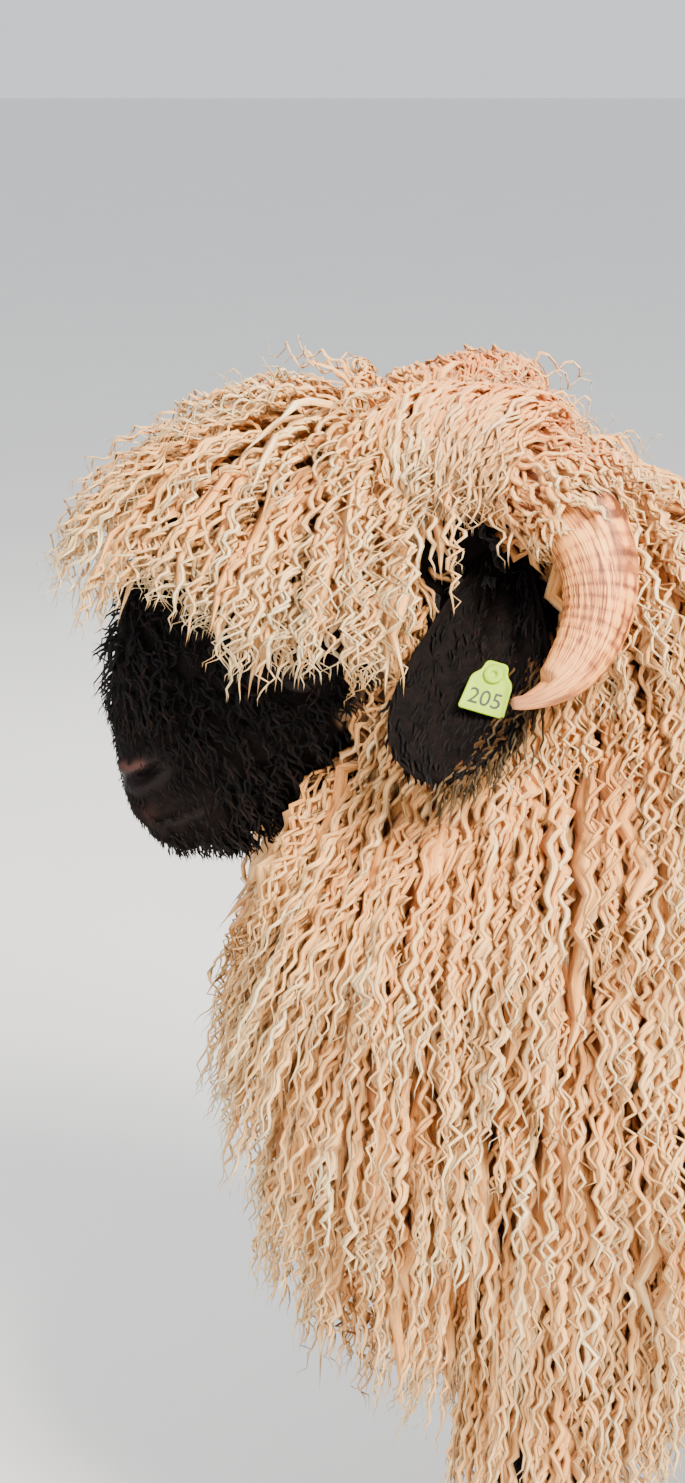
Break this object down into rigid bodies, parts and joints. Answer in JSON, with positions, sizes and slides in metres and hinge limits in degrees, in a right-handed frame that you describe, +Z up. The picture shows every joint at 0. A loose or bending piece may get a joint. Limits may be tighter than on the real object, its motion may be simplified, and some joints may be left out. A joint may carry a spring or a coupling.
{
  "type": "valais blacknose sheep",
  "caption": "Life-size standing horned sheep with a long curly fleece, a woolly forelock over a black face, drooping ears and an ear tag.",
  "frame": {"origin": "on the floor, under the centre of the animal's bounding box", "axes": "+X from head to tail along the body, so the animal faces -X; +Y to the animal's right; +Z up"},
  "size_m": [1.1802, 0.5562, 0.9545],
  "materials": {
    "fleece": "long cream wool in wavy locks, matt with a slight sheen",
    "black_wool": "short black wool, matt",
    "horn": "pinkish tan horn with growth rings, satin",
    "hoof": "black hoof horn, satin",
    "eye": "wet dark eye, glossy",
    "tag": "bright yellow-green flexible plastic, satin"
  },
  "bodies": {
    "root": {"head": "black_wool", "neck": "fleece", "torso": "fleece", "tail": "fleece", "leg_front_left": "fleece", "claw_front_left_inner": "hoof", "claw_front_left_outer": "hoof", "leg_front_right": "fleece", "claw_front_right_inner": "hoof", "claw_front_right_outer": "hoof", "leg_hind_left": "fleece", "claw_hind_left_inner": "hoof", "claw_hind_left_outer": "hoof", "leg_hind_right": "fleece", "claw_hind_right_inner": "hoof", "claw_hind_right_outer": "hoof", "ear_left": "black_wool", "eye_left": "eye", "horn_left": "horn", "ear_right": "black_wool", "eye_right": "eye", "horn_right": "horn", "ear_tag_plate": "tag", "ear_tag_stud": "tag"}
  },
  "joints": []
}
